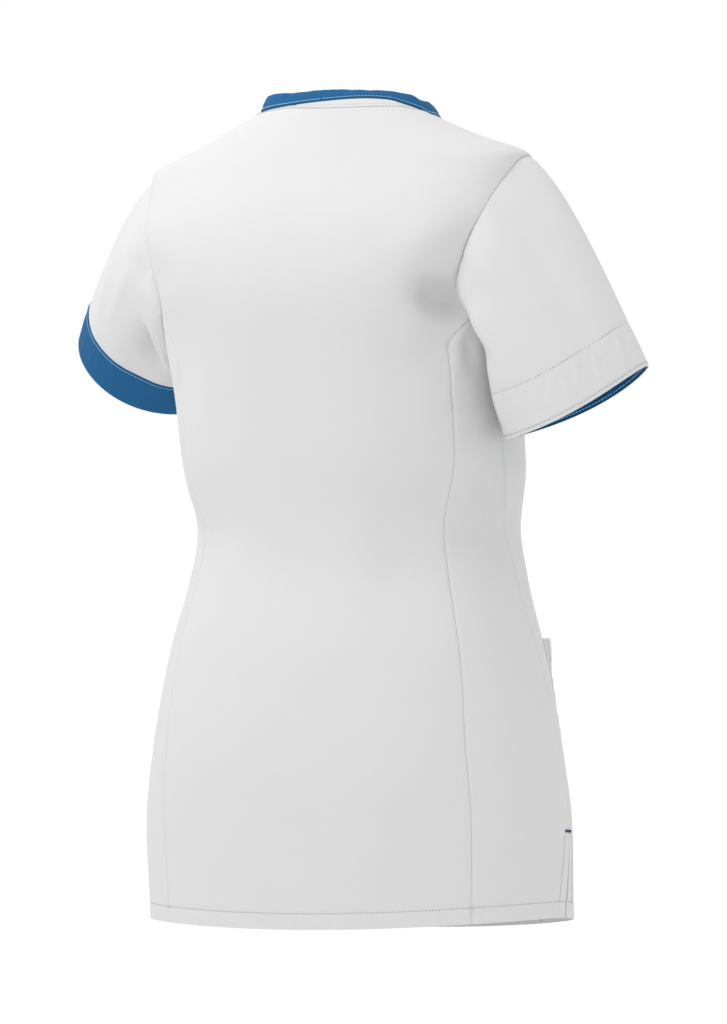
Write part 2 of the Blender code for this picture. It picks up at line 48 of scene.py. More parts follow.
Ring = namedtuple(
    "Ring", "height half_width side_y back_depth front_depth back_power front_power")
TORSO = [
    Ring(-0.728, 0.202, 0.002, 0.108, 0.144, 2.25, 2.20),
    Ring(-0.650, 0.205, 0.005, 0.115, 0.136, 2.15, 2.10),
    Ring(-0.570, 0.194, 0.006, 0.121, 0.130, 2.25, 2.20),
    Ring(-0.490, 0.178, 0.006, 0.116, 0.121, 2.25, 2.25),
    Ring(-0.420, 0.159, 0.001, 0.109, 0.107, 2.25, 2.25),
    Ring(-0.376, 0.151, -0.003, 0.1145, 0.100, 2.30, 2.25),
    Ring(-0.320, 0.160, 0.009, 0.1115, 0.107, 2.40, 2.30),
    Ring(-0.260, 0.163, 0.020, 0.109, 0.104, 2.40, 2.30),
    Ring(-0.205, 0.167, 0.029, 0.108, 0.106, 2.55, 2.40),
    Ring(-0.170, 0.167, 0.036, 0.106, 0.106, 2.90, 2.50),
    Ring(-0.137, 0.173, 0.038, 0.102, 0.102, 3.35, 2.60),
    Ring(-0.100, 0.183, 0.038, 0.093, 0.096, 3.30, 2.60),
    Ring(-0.075, 0.184, 0.037, 0.082, 0.086, 2.80, 2.42),
    Ring(-0.052, 0.187, 0.036, 0.070, 0.074, 2.38, 2.22),
    Ring(-0.026, 0.136, 0.030, 0.062, 0.066, 2.12, 2.08),
    Ring(0.000, 0.084, 0.022, 0.056, 0.058, 2.00, 2.00),
]
EASE_REACH = 0.024
EASE_STEPS = [(-1, 0.12), (-0.5, 0.23), (0, 0.30), (0.5, 0.23), (1, 0.12)]
Hollow = namedtuple("Hollow", "angle height wide tall depth")
HOLLOWS = [
    Hollow(2.42, -0.165, 0.17, 0.045, 0.0080),
    Hollow(2.25, -0.412, 0.26, 0.060, 0.0058),
    Hollow(0.78, -0.215, 0.20, 0.050, 0.0045),
    Hollow(0.90, -0.390, 0.18, 0.050, 0.0035),
    Hollow(-1.571, -0.430, 0.30, 0.080, 0.0035),
]
BUST_OUT, BUST_X, BUST_HEIGHT, BUST_WIDE, BUST_TALL = 0.022, 0.055, -0.300, 0.080, 0.085

# The back neckline rides up off the shoulders, and the neckband leans in over it.
NeckRow = namedtuple("NeckRow", "angle lift lean")
NECK = [
    NeckRow(-0.80, 0.0000, 25), NeckRow(0.00, 0.0015, 20), NeckRow(0.52, 0.0038, 22),
    NeckRow(1.05, 0.0052, 32), NeckRow(1.57, 0.0074, 42), NeckRow(2.09, 0.0092, 56),
    NeckRow(2.36, 0.0082, 53), NeckRow(2.62, 0.0038, 42), NeckRow(2.88, -0.0004, 34),
    NeckRow(3.14, -0.0042, 31), NeckRow(3.94, 0.0000, 25),
]
NECK_FADE, NECK_WIDTH, NECK_Y = 0.060, 0.0148, 0.022
# The wearer's right shoulder is held a little higher than the left one.
TIP_LIFT = 0.0055
STRIP_CENTRE, STRIP_HALF, STRIP_DEEP, STRIP_FADE = 2.042, 0.864, 0.0056, 0.045
STRIP_APART = 0.00015

# Angle round the body from the side line: back seams are positive, front seams negative.
Seam = namedtuple("Seam", "height angle")
BACK_PRINCESS = [
    Seam(-0.728, 0.755), Seam(-0.650, 0.740), Seam(-0.570, 0.720), Seam(-0.490, 0.686),
    Seam(-0.376, 0.672), Seam(-0.300, 0.632), Seam(-0.245, 0.645), Seam(-0.220, 0.660),
    Seam(-0.206, 0.590), Seam(-0.192, 0.465),
]
SIDE = [
    Seam(-0.728, -0.100), Seam(-0.650, -0.170), Seam(-0.570, -0.180), Seam(-0.440, -0.030),
    Seam(-0.320, 0.140), Seam(-0.216, 0.240),
]
FRONT_PRINCESS = [
    Seam(-0.728, -0.900), Seam(-0.600, -0.880), Seam(-0.500, -0.820), Seam(-0.420, -0.720),
    Seam(-0.370, -0.560), Seam(-0.336, -0.360), Seam(-0.305, -0.210), Seam(-0.270, -0.150),
    Seam(-0.219, -0.110),
]
ARMHOLE = [
    Seam(-0.052, 0.00), Seam(-0.056, 0.19), Seam(-0.068, 0.34), Seam(-0.086, 0.50),
    Seam(-0.110, 0.60), Seam(-0.142, 0.61), Seam(-0.173, 0.575), Seam(-0.192, 0.465),
    Seam(-0.210, 0.32), Seam(-0.2165, 0.19), Seam(-0.219, 0.04), Seam(-0.2195, -0.11),
    Seam(-0.214, -0.26), Seam(-0.198, -0.41), Seam(-0.172, -0.55), Seam(-0.140, -0.60),
    Seam(-0.108, -0.58), Seam(-0.080, -0.44), Seam(-0.056, -0.19),
]
BACK_JOIN, SIDE_JOIN, FRONT_JOIN = 7, 8.6, 11
VENT_TOP, VENT_OPEN, VENT_FADE, SIDE_RUN = -0.651, 0.0022, 0.060, 0.13
POCKET_LOW, POCKET_TALL = -0.655, 0.178
POCKET_OUTER, POCKET_TAPER, POCKET_INNER = -0.39, 0.10, -1.19
POCKET_GAPE = 0.0080
V_NECK = [(0.000, 0.0815), (-0.030, 0.068), (-0.060, 0.0525), (-0.100, 0.0300), (-0.148, 0.0)]

# Sleeves: cuff centre, lean of the arm, and how the cloth leaves the armhole: outward and
# rearward leads, and lengths of the lead at the underarm and at the sides.
Sleeve = namedtuple(
    "Sleeve", "hand centre spread forward twist under_out side_out rear under side under_end")
SLEEVE_LEFT = Sleeve(
    1, (0.2500, -0.0620, -0.2187), 31.4, 35.0, -2.0, 1.70, 0.85, 0.0, 0.10, 0.12, 0.10)
SLEEVE_RIGHT = Sleeve(
    -1, (0.2405, 0.0400, -0.2731), 24.2, 12.5, -13.7, -0.30, 0.64, 2.9, 0.16, 0.06, 0.055)
CUFF_TALL, CUFF_DEEP, CUFF_DIP = 0.0726, 0.0572, 0.008
# The same on both sleeves: outward lead and its length at the shoulder top, and lengths of
# the run-in to the cuff at the top and at the sides.
TOP_OUT, TOP_LEAD, TOP_END, SIDE_END = 0.95, 0.13, 0.17, 0.14
CUFF_BAND, SLEEVE_HEM, SEAM_FOLLOW = 0.040, 0.043, 0.16
FACING_APART, FACING_WALL = 0.0010, 0.0009

# Metres of cloth per radian round the body: for creases and weave, and at each panel's edge.
BODY_RUN, BACK_RUN, SIDE_PANEL_RUN, FRONT_RUN = 0.165, 0.16, 0.14, 0.15
SLEEVE_RING, SLEEVE_LONG, POCKET_WIDE = 0.42, 0.20, 0.145

# Sewing: distances up from the hem or in from an edge, and reach of a bartack round the body.
HEM_STITCH, EDGE_STITCH, VENT_STITCH, FACING_STITCH = 0.0145, 0.0036, 0.0135, 0.0029
BAND_STITCH, BAND_SHARE, STRIP_STITCH, POCKET_STITCH = 0.002, 0.13, 0.0026, 0.014
BAR_REACH, BAR_TALL = (-0.0050, 0.0155), 0.0018
# Long close stitches, for the lines that show as pale piping on the blue cloth.
PIPED = {"length": 0.0030, "gap": 0.0003, "thick": 0.00046}

# Creases, listed one by one. On the body: angles and heights of both ends, half width in
# metres, and how far they stand out (ridges) or go in (troughs).
Crease = namedtuple("Crease", "angle height to_angle to_height wide out")
BODY_CREASES = [Crease(*row) for row in (
    (2.62, -0.182, 2.27, -0.171, 0.016, -0.0190),
    (2.54, -0.219, 2.30, -0.210, 0.034, -0.0040),
    (2.44, -0.124, 2.12, -0.130, 0.019, 0.0030),
    (2.60, -0.208, 2.66, -0.240, 0.010, -0.0030),
    (2.36, -0.215, 2.10, -0.260, 0.022, -0.0016),
    (2.88, -0.325, 2.50, -0.414, 0.017, -0.0050),
    (2.62, -0.300, 2.44, -0.380, 0.016, 0.0016),
    (2.30, -0.405, 1.95, -0.440, 0.022, -0.0014),
    (0.66, -0.150, 0.92, -0.142, 0.015, -0.0026),
    (0.64, -0.172, 0.60, -0.300, 0.013, -0.0020),
    (0.62, -0.360, 0.86, -0.425, 0.016, -0.0024),
    (0.50, -0.330, 0.72, -0.385, 0.012, 0.0012),
    (1.10, -0.395, 1.75, -0.405, 0.026, -0.0011),
    (1.22, -0.560, 1.14, -0.700, 0.030, 0.0012),
    (1.95, -0.580, 2.02, -0.715, 0.028, 0.0014),
    (2.44, -0.480, 2.50, -0.640, 0.022, -0.0012),
    (-0.62, -0.160, -0.86, -0.175, 0.014, -0.0026),
    (-0.60, -0.190, -0.92, -0.235, 0.013, -0.0018),
    (-2.52, -0.160, -2.24, -0.172, 0.014, -0.0028),
    (-2.55, -0.185, -2.28, -0.245, 0.013, -0.0020),
    (-0.55, -0.385, -0.95, -0.405, 0.016, -0.0022),
    (-2.60, -0.380, -2.20, -0.410, 0.016, -0.0024),
    (-1.25, -0.420, -1.80, -0.428, 0.024, -0.0014),
    (-1.30, -0.560, -1.24, -0.710, 0.028, 0.0014),
    (-1.95, -0.570, -2.02, -0.715, 0.026, 0.0013),
    (-0.10, -0.360, 0.30, -0.400, 0.012, -0.0014),
    (3.26, -0.362, 2.90, -0.400, 0.012, -0.0016),
)]
# On the sleeves: turn 0 is the shoulder top and 0.5 the underarm, along runs to the cuff.
SleeveCrease = namedtuple("SleeveCrease", "turn along to_turn to_along wide out")
LEFT_CREASES = [SleeveCrease(*row) for row in (
    (0.10, 0.35, 0.13, 0.80, 0.010, 0.0022),
    (0.33, 0.36, 0.29, 0.60, 0.015, -0.0185),
    (0.33, 0.42, 0.25, 0.86, 0.018, -0.0034),
    (0.24, 0.04, 0.22, 0.20, 0.011, -0.0026),
    (0.20, 0.22, 0.17, 0.62, 0.007, 0.0014),
    (0.52, 0.12, 0.56, 0.60, 0.010, -0.0034),
    (0.68, 0.10, 0.74, 0.70, 0.012, -0.0030),
    (0.88, 0.20, 0.86, 0.75, 0.012, 0.0020),
)]
RIGHT_CREASES = [SleeveCrease(*row) for row in (
    (0.42, 0.10, 0.32, 0.55, 0.012, -0.0036),
    (0.36, 0.08, 0.22, 0.42, 0.013, -0.0018),
    (0.46, 0.30, 0.40, 0.90, 0.012, 0.0020),
    (0.14, 0.30, 0.12, 0.85, 0.016, -0.0014),
    (0.55, 0.12, 0.60, 0.60, 0.010, -0.0030),
    (0.72, 0.12, 0.78, 0.65, 0.012, -0.0028),
    (0.90, 0.25, 0.88, 0.80, 0.012, 0.0018),
)]


def smooth(x):
    x = np.clip(x, 0.0, 1.0)
    return x * x * (3.0 - 2.0 * x)


def unit(v):
    return v / np.linalg.norm(v, axis=-1, keepdims=True)


def bell(x, centre, wide):
    """Soft bump: 1 at the centre, falling away over its width."""
    return np.exp(-((x - centre) / wide)**2)


def table(xs, ys, x):
    """Smooth curve through a short table, with no overshoot between rows."""
    xs, ys, x = np.asarray(xs, float), np.asarray(ys, float), np.asarray(x, float)
    if xs[0] > xs[-1]:
        xs, ys = xs[::-1], ys[::-1]
    step = np.diff(xs)
    rise = np.diff(ys) / step
    slope = np.zeros_like(ys)
    slope[0], slope[-1] = rise[0], rise[-1]
    for i in range(1, len(ys) - 1):
        if rise[i - 1] * rise[i] > 0:
            near, far = 2 * step[i] + step[i - 1], step[i] + 2 * step[i - 1]
            slope[i] = 3 * (step[i - 1] + step[i]) / (near / rise[i - 1] + far / rise[i])
    x = np.clip(x, xs[0], xs[-1])
    i = np.clip(np.searchsorted(xs, x) - 1, 0, len(xs) - 2)
    t = (x - xs[i]) / step[i]
    return ((2 * t**3 - 3 * t**2 + 1) * ys[i] + (t**3 - 2 * t**2 + t) * step[i] * slope[i]
            + (3 * t**2 - 2 * t**3) * ys[i + 1] + (t**3 - t**2) * step[i] * slope[i + 1])


def ring_value(field, height):
    """Row value at a height; depths and roundness are eased between rows, so no band shows."""
    rows = [r.height for r in TORSO], [getattr(r, field) for r in TORSO]
    if field == "half_width":
        return table(*rows, height)
    reach = np.clip(0.45 * np.minimum(-height, height - HEM), 0, EASE_REACH)
    return sum(share * table(*rows, height + step * reach) for step, share in EASE_STEPS)


def seam_angle(seam, height):
    return table([s.height for s in seam], [s.angle for s in seam], height)


def neck_value(field, angle):
    """Neckline lift or neckband lean at an angle round the body."""
    turn = (angle + math.pi / 2) % (2 * math.pi) - math.pi / 2
    return table([r.angle for r in NECK], [getattr(r, field) for r in NECK], turn)


def worn_lift(angle, height):
    """How far the worn neckline and the right shoulder stand up off the even form."""
    turn = angle % (2 * math.pi) - math.pi
    tip = TIP_LIFT * bell(turn, 0, 0.6) * bell(height, TIP, 0.035)
    return tip + neck_value("lift", angle) * smooth((height + NECK_FADE) / NECK_FADE)


def even_torso(angle, height):
    """The body form before the worn neckline's lift, the same on both sides above the bust."""
    angle, height = np.broadcast_arrays(np.asarray(angle, float), np.asarray(height, float))
    sin, cos = np.sin(angle), np.cos(angle)
    back = sin > 0
    depth = np.where(back, ring_value("back_depth", height), ring_value("front_depth", height))
    power = np.where(back, ring_value("back_power", height), ring_value("front_power", height))
    reach = (np.abs(cos)**power + np.abs(sin)**power)**(-1 / power)
    x = ring_value("half_width", height) * cos * reach
    y = depth * sin * reach
    inward = np.zeros_like(x)
    for h in HOLLOWS:
        turn = (angle - h.angle + math.pi) % (2 * math.pi) - math.pi
        inward += h.depth * bell(turn, 0, h.wide) * bell(height, h.height, h.tall)
    size = np.hypot(x, y)
    x, y = x * (1 - inward / size), y * (1 - inward / size)
    bust = bell(np.abs(x), BUST_X, BUST_WIDE) * bell(height, BUST_HEIGHT, BUST_TALL)
    y = y + ring_value("side_y", height) + BUST_OUT * bust * np.minimum(sin, 0)
    z = height - HEM_DIP * sin**2 * smooth((DIP_FROM - height) / DIP_FADE)
    return np.stack([x, y, z], -1)


def torso(angle, height):
    """Point of the worn body form at an angle from the side line and a height."""
    angle, height = np.broadcast_arrays(np.asarray(angle, float), np.asarray(height, float))
    point = even_torso(angle, height)
    point[..., 2] += worn_lift(angle, height)
    return point


def crease_depth(creases, across, height, across_scale, period, height_scale=1.0):
    """Sum of the listed creases at places of a surface, in metres."""
    out = np.zeros_like(across)
    for c in creases:
        a0, h0, a1, h1 = c[:4]
        run = np.array([(a1 - a0) * across_scale, (h1 - h0) * height_scale])
        length = np.hypot(*run)
        dx = ((across - a0 + period / 2) % period - period / 2) * across_scale
        dy = (height - h0) * height_scale
        t = (dx * run[0] + dy * run[1]) / length**2
        side = (dx * run[1] - dy * run[0]) / length
        body = smooth((t + 0.15) / 0.45) * smooth((1.25 - t) / 0.75)
        out += c.out * bell(side, 0, c.wide) * body
    return out


def ripple(run, phase=0.0):
    """Uneven small puckers along a sewn line, from -1 to 1."""
    return (0.5 * np.sin(run * 640 + phase) + 0.32 * np.sin(run * 417 + 1.7 + 2 * phase)
            + 0.28 * np.sin(run * 233 + 4.1 + phase))


def pucker(run):
    """Short sharp gathers along a sewn line, uneven in spacing and depth, 0 or less."""
    beat = np.sin(run * 520 + 1.9 * np.sin(run * 71)) * (0.65 + 0.35 * np.sin(run * 157 + 0.8))
    return -np.clip(beat, 0, 1)**2


def body_relief(angle, height):
    """Creases and sewn puckers that stand on the body form, in metres."""
    relief = crease_depth(BODY_CREASES, angle, height, BODY_RUN, 2 * math.pi)
    up = height - HEM
    relief = relief + 0.00050 * ripple(angle * 0.19 + 0.35 * up, 0.4) * bell(up, 0.007, 0.0075)
    return relief - 0.00045 * bell(up, HEM_STITCH, 0.0016)


def torso_normal(angle, height, relief=False):
    step = 0.0006
    height = np.clip(height, HEM + step, -step)
    point = body_point if relief else torso
    along = point(angle + step * 3, height) - point(angle - step * 3, height)
    up = point(angle, height + step) - point(angle, height - step)
    return unit(np.cross(along, up))


def body_point(angle, height):
    """Finished outer cloth of the body: the form with its creases and puckers."""
    angle, height = np.broadcast_arrays(np.asarray(angle, float), np.asarray(height, float))
    return torso(angle, height) + body_relief(angle, height)[..., None] * torso_normal(
        angle, height)


def armhole_seam(place):
    """Angle and height at a place counted in rows of the closed armhole table."""
    rows = np.array([(s.angle, s.height) for s in ARMHOLE])
    n = len(rows)
    place = np.asarray(place, float) % n
    i = np.floor(place).astype(int)
    t = (place - i)[..., None]
    a, b, c, d = rows[(i - 1) % n], rows[i % n], rows[(i + 1) % n], rows[(i + 2) % n]
    q = 0.5 * (2 * b + (c - a) * t + (2 * a - 5 * b + 4 * c - d) * t**2
               + (3 * b - a - 3 * c + d) * t**3)
    return q[..., 0], q[..., 1]


ARMHOLE_PLACES = np.linspace(0, len(ARMHOLE), 1201)
ARMHOLE_POINTS = torso(*armhole_seam(ARMHOLE_PLACES))
ARMHOLE_RUN = np.concatenate(
    [[0], np.cumsum(np.linalg.norm(np.diff(ARMHOLE_POINTS, axis=0), axis=1))])
UNDERARM_RUN = ARMHOLE_RUN[np.argmin(ARMHOLE_POINTS[:, 2])]


def armhole_place(turn):
    """Armhole place for a sleeve turn: 0 at the shoulder tip, 0.5 at the underarm."""
    first = turn / 0.5 * UNDERARM_RUN
    second = UNDERARM_RUN + (turn - 0.5) / 0.5 * (ARMHOLE_RUN[-1] - UNDERARM_RUN)
    return np.interp(np.where(turn < 0.5, first, second), ARMHOLE_RUN, ARMHOLE_PLACES)


def sleeve_seam(sleeve, turn):
    """Armhole angle and height of a sleeve turn, on the sleeve's own side."""
    angle, height = armhole_seam(armhole_place(turn))
    return (angle if sleeve.hand > 0 else math.pi - angle), height


def sleeve_form(sleeve, turn, along):
    """Sleeve form: along 0 is the armhole seam and along 1 the cuff edge."""
    turn, along = np.broadcast_arrays(np.asarray(turn, float), np.asarray(along, float))
    spread, forward = math.radians(sleeve.spread), math.radians(sleeve.forward)
    axis = np.array([math.sin(spread), -math.sin(forward) * math.cos(spread),
                     -math.cos(forward) * math.cos(spread)])
    up = np.array([math.cos(spread), math.sin(forward) * math.sin(spread),
                   math.cos(forward) * math.sin(spread)])
    back = np.cross(up, axis)
    twist = math.radians(sleeve.twist)
    tall = up * math.cos(twist) + back * math.sin(twist)
    deep = back * math.cos(twist) - up * math.sin(twist)
    mirror = np.array([sleeve.hand, 1, 1])
    start = torso(*sleeve_seam(sleeve, turn)) * mirror
    a = 2 * math.pi * turn
    cos, sin = np.cos(a)[..., None], np.sin(a)[..., None]
    end = (np.array(sleeve.centre) + CUFF_TALL * cos * tall + CUFF_DEEP * sin * deep
           + CUFF_DIP * (sin**2 - 0.5) * axis)
    top, low = np.clip(cos, 0, 1), np.clip(-cos, 0, 1)
    side = 1 - top - low
    out = TOP_OUT * top + sleeve.side_out * side + sleeve.under_out * low
    rear = sleeve.rear * np.clip(sin, 0, 1) * np.clip(1 - 1.5 * top, 0, 1)
    lead = unit(axis + out * np.array([1.0, 0.0, 0.0]) + rear * np.array([0.0, 1.0, 0.0]))
    leave = lead * (TOP_LEAD * top + sleeve.side * side + sleeve.under * low)
    arrive = axis * (TOP_END * top + SIDE_END * side + sleeve.under_end * low)
    v = along[..., None]
    p = ((2 * v**3 - 3 * v**2 + 1) * start + (v**3 - 2 * v**2 + v) * leave
         + (3 * v**2 - 2 * v**3) * end + (v**3 - v**2) * arrive)
    return p * mirror


def sleeve_normal(sleeve, turn, along, point=sleeve_form):
    step = 0.002
    near, far = np.clip(along - step, 0, 1), np.clip(along + step, 0, 1)
    down = point(sleeve, turn, far) - point(sleeve, turn, near)
    around = point(sleeve, (turn + step) % 1, along) - point(sleeve, (turn - step) % 1, along)
    return unit(np.cross(down, around)) * sleeve.hand


def edge_runs(sleeve, turns=120, steps=80):
    """Cloth distance up from the cuff edge, on an even grid of places along and turns."""
    turn, along = np.linspace(0, 1, turns + 1), np.linspace(1, 0, steps + 1)
    points = sleeve_form(sleeve, turn[None, :] % 1, along[:, None])
    run = np.linalg.norm(np.diff(points, axis=0), axis=-1).cumsum(0)
    return np.concatenate([np.zeros((1, turns + 1)), run])[::-1]


EDGE_RUNS = {sleeve.hand: edge_runs(sleeve) for sleeve in (SLEEVE_LEFT, SLEEVE_RIGHT)}


def edge_distance(sleeve, turn, along):
    """Cloth distance up from the cuff edge at any place of a sleeve."""
    runs = EDGE_RUNS[sleeve.hand]
    row, col = np.clip(along, 0, 1) * (runs.shape[0] - 1), (turn % 1) * (runs.shape[1] - 1)
    i = np.minimum(row.astype(int), runs.shape[0] - 2)
    j = np.minimum(col.astype(int), runs.shape[1] - 2)
    a, b = row - i, col - j
    return ((1 - a) * ((1 - b) * runs[i, j] + b * runs[i, j + 1])
            + a * ((1 - b) * runs[i + 1, j] + b * runs[i + 1, j + 1]))


def cuff_place(sleeve, turn, distance):
    """Place along the sleeve at a cloth distance up from the cuff edge, for each turn."""
    along = np.linspace(1, 0, 81)
    runs = edge_distance(sleeve, turn[None, :], along[:, None])
    return np.array([np.interp(distance, run, along) for run in runs.T])


def sleeve_point(sleeve, turn, along):
    """Finished outer cloth of a sleeve, with creases, seam and hem puckers."""
    turn, along = np.broadcast_arrays(np.asarray(turn, float), np.asarray(along, float))
    up = edge_distance(sleeve, turn, along)
    seam = sleeve_seam(sleeve, turn)
    follow = body_relief(*seam) * smooth((SEAM_FOLLOW - along) / SEAM_FOLLOW)
    creases = LEFT_CREASES if sleeve.hand > 0 else RIGHT_CREASES
    relief = crease_depth(creases, turn, along, SLEEVE_RING, 1.0, SLEEVE_LONG)
    relief = relief * smooth(along / 0.12) * (1 - 0.55 * smooth((0.045 - up) / 0.030))
    ring = turn * SLEEVE_RING
    relief = relief + 0.00055 * ripple(ring, 2.2) * bell(along, 0.045, 0.035)
    if sleeve.hand < 0:
        relief = relief + 0.00060 * ripple(ring + 0.25 * up, 1.1) * bell(up, 0.026, 0.017)
        relief = relief + 0.0013 * pucker(ring + 0.4 * up) * bell(up, 0.033, 0.009)
        relief = relief + 0.0009 * pucker(ring + 0.09 - 0.3 * up) * bell(up, 0.010, 0.006)
        relief = relief - 0.00050 * bell(up, SLEEVE_HEM, 0.0016)
        relief = relief - 0.00035 * bell(up, EDGE_STITCH, 0.0014)
    else:
        relief = relief + 0.00050 * ripple(ring, 0.6) * bell(up, 0.024, 0.014)
    return (sleeve_form(sleeve, turn, along) + follow[..., None] * torso_normal(*seam)
            + relief[..., None] * sleeve_normal(sleeve, turn, along))


# Meshes.

def grid_faces(rows, cols, closed=False):
    i, j = np.meshgrid(np.arange(rows - 1), np.arange(cols if closed else cols - 1),
                       indexing="ij")
    i, j = i.ravel(), j.ravel()
    k = (j + 1) % cols
    return np.stack([i * cols + j, i * cols + k, (i + 1) * cols + k, (i + 1) * cols + j], 1)


def placed(name, data):
    """New object in the scene."""
    item = bpy.data.objects.new(name, data)
    bpy.context.collection.objects.link(item)
    return item


def finish_mesh(name, points, faces, material, uv=None, period=None):
    mesh = bpy.data.meshes.new(name)
    mesh.from_pydata(points.tolist(), [], [tuple(int(i) for i in f) for f in faces])
    mesh.update()
    mesh.materials.append(material)
    mesh.polygons.foreach_set("use_smooth", [True] * len(mesh.polygons))
    if uv is not None:
        layer = mesh.uv_layers.new(name="cloth")
        loops = np.empty(len(mesh.loops), np.int64)
        mesh.loops.foreach_get("vertex_index", loops)
        corner = uv[loops]
        if period:
            starts = np.empty(len(mesh.polygons), np.int64)
            mesh.polygons.foreach_get("loop_start", starts)
            top = np.maximum.reduceat(corner[:, 0], starts)
            sizes = np.diff(np.append(starts, len(corner)))
            corner[:, 0] += period * (corner[:, 0] < np.repeat(top, sizes) - period / 2)
        layer.data.foreach_set("uv", corner.ravel())
    item = placed(name, mesh)
    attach(item, "root")
    return item


def shell(name, outer, inner, faces, material, uv, period=None):
    """Thin closed cloth from matching outer and inner points and the outer faces."""
    outer, inner = outer.reshape(-1, 3), inner.reshape(-1, 3)
    a, b, c = outer[faces[:, 0]], outer[faces[:, 1]], outer[faces[:, 3]]
    facing = np.cross(b - a, c - a)
    out = (outer - inner)[faces[:, 0]]
    if np.median((facing * out).sum(1)) < 0:
        faces = faces[:, ::-1]
    n = len(outer)
    edges = np.concatenate([faces[:, [k, (k + 1) % 4]] for k in range(4)])
    key = edges[:, 0] * n + edges[:, 1]
    lone = edges[~np.isin(key, edges[:, 1] * n + edges[:, 0])]
    rim = np.stack([lone[:, 1], lone[:, 0], lone[:, 0] + n, lone[:, 1] + n], 1)
    body = np.concatenate([faces, faces[:, ::-1] + n, rim])
    both = np.concatenate([uv.reshape(-1, 2)] * 2)
    item = finish_mesh(name, np.concatenate([outer, inner]), body, material, both, period)
    pairs = np.empty(2 * len(item.data.edges), np.int64)
    item.data.edges.foreach_get("vertices", pairs)
    pairs = np.sort(pairs.reshape(-1, 2), 1)
    rim_edges = np.sort(np.concatenate([lone, lone + n]), 1)
    sharp = np.isin(pairs[:, 0] * 2 * n + pairs[:, 1],
                    rim_edges[:, 0] * 2 * n + rim_edges[:, 1])
    item.data.attributes.new("sharp_edge", "BOOLEAN", "EDGE").data.foreach_set("value", sharp)
    return item


def stitches(name, lines, material, slot, length=0.0022, gap=0.0008, thick=0.00034, lift=0.0):
    """Rows of sewn thread on lines of (points, outward normals)."""
    points, faces, base = [], [], 0
    ring = np.array([(-1.0, 0.0), (0.0, 1.0), (1.0, 0.0), (0.0, -1.0)])
    places = np.array([0.0, 0.22, 0.78, 1.0])
    heights = np.array([-0.5, 0.75, 0.75, -0.5])
    swell = np.array([0.55, 1.0, 1.0, 0.55])
    box = [(k * 4 + j, k * 4 + (j + 1) % 4, (k + 1) * 4 + (j + 1) % 4, (k + 1) * 4 + j)
           for k in range(3) for j in range(4)] + [(3, 2, 1, 0), (12, 13, 14, 15)]
    for line, normal in lines:
        run = np.concatenate([[0], np.linalg.norm(np.diff(line, axis=0), axis=1).cumsum()])
        starts = np.arange(gap, run[-1] - length, length + gap)
        s = starts[:, None] + places * length
        p = np.stack([np.interp(s, run, line[:, k]) for k in range(3)], -1)
        n = unit(np.stack([np.interp(s, run, normal[:, k]) for k in range(3)], -1))
        way = unit(p[:, -1:] - p[:, :1])
        side = unit(np.cross(n, np.broadcast_to(way, n.shape)))
        size = thick * swell[None, :, None, None]
        q = (p[:, :, None] + (heights * thick + lift)[None, :, None, None] * n[:, :, None]
             + size * (1.25 * ring[:, 0][:, None] * side[:, :, None]
                       + 0.8 * ring[:, 1][:, None] * n[:, :, None]))
        points.append(q.reshape(-1, 3))
        offsets = base + 16 * np.arange(len(starts))
        faces.append((np.array(box)[None] + offsets[:, None, None]).reshape(-1, 4))
        base += 16 * len(starts)
    return finish_mesh(name, np.concatenate(points), np.concatenate(faces), material)


# Cloth and thread materials.

def new_material(name):
    material = bpy.data.materials.new(name)
    material.use_nodes = True
    return material, material.node_tree.nodes, material.node_tree.links


def colour_between(nodes, links, factor, dark, light):
    """Base colour mixed between two shades."""
    mix = nodes.new("ShaderNodeMix")
    mix.data_type = "RGBA"
    mix.inputs["A"].default_value = (*dark, 1.0)
    mix.inputs["B"].default_value = (*light, 1.0)
    links.new(factor, mix.inputs["Factor"])
    links.new(mix.outputs["Result"], nodes["Principled BSDF"].inputs["Base Color"])


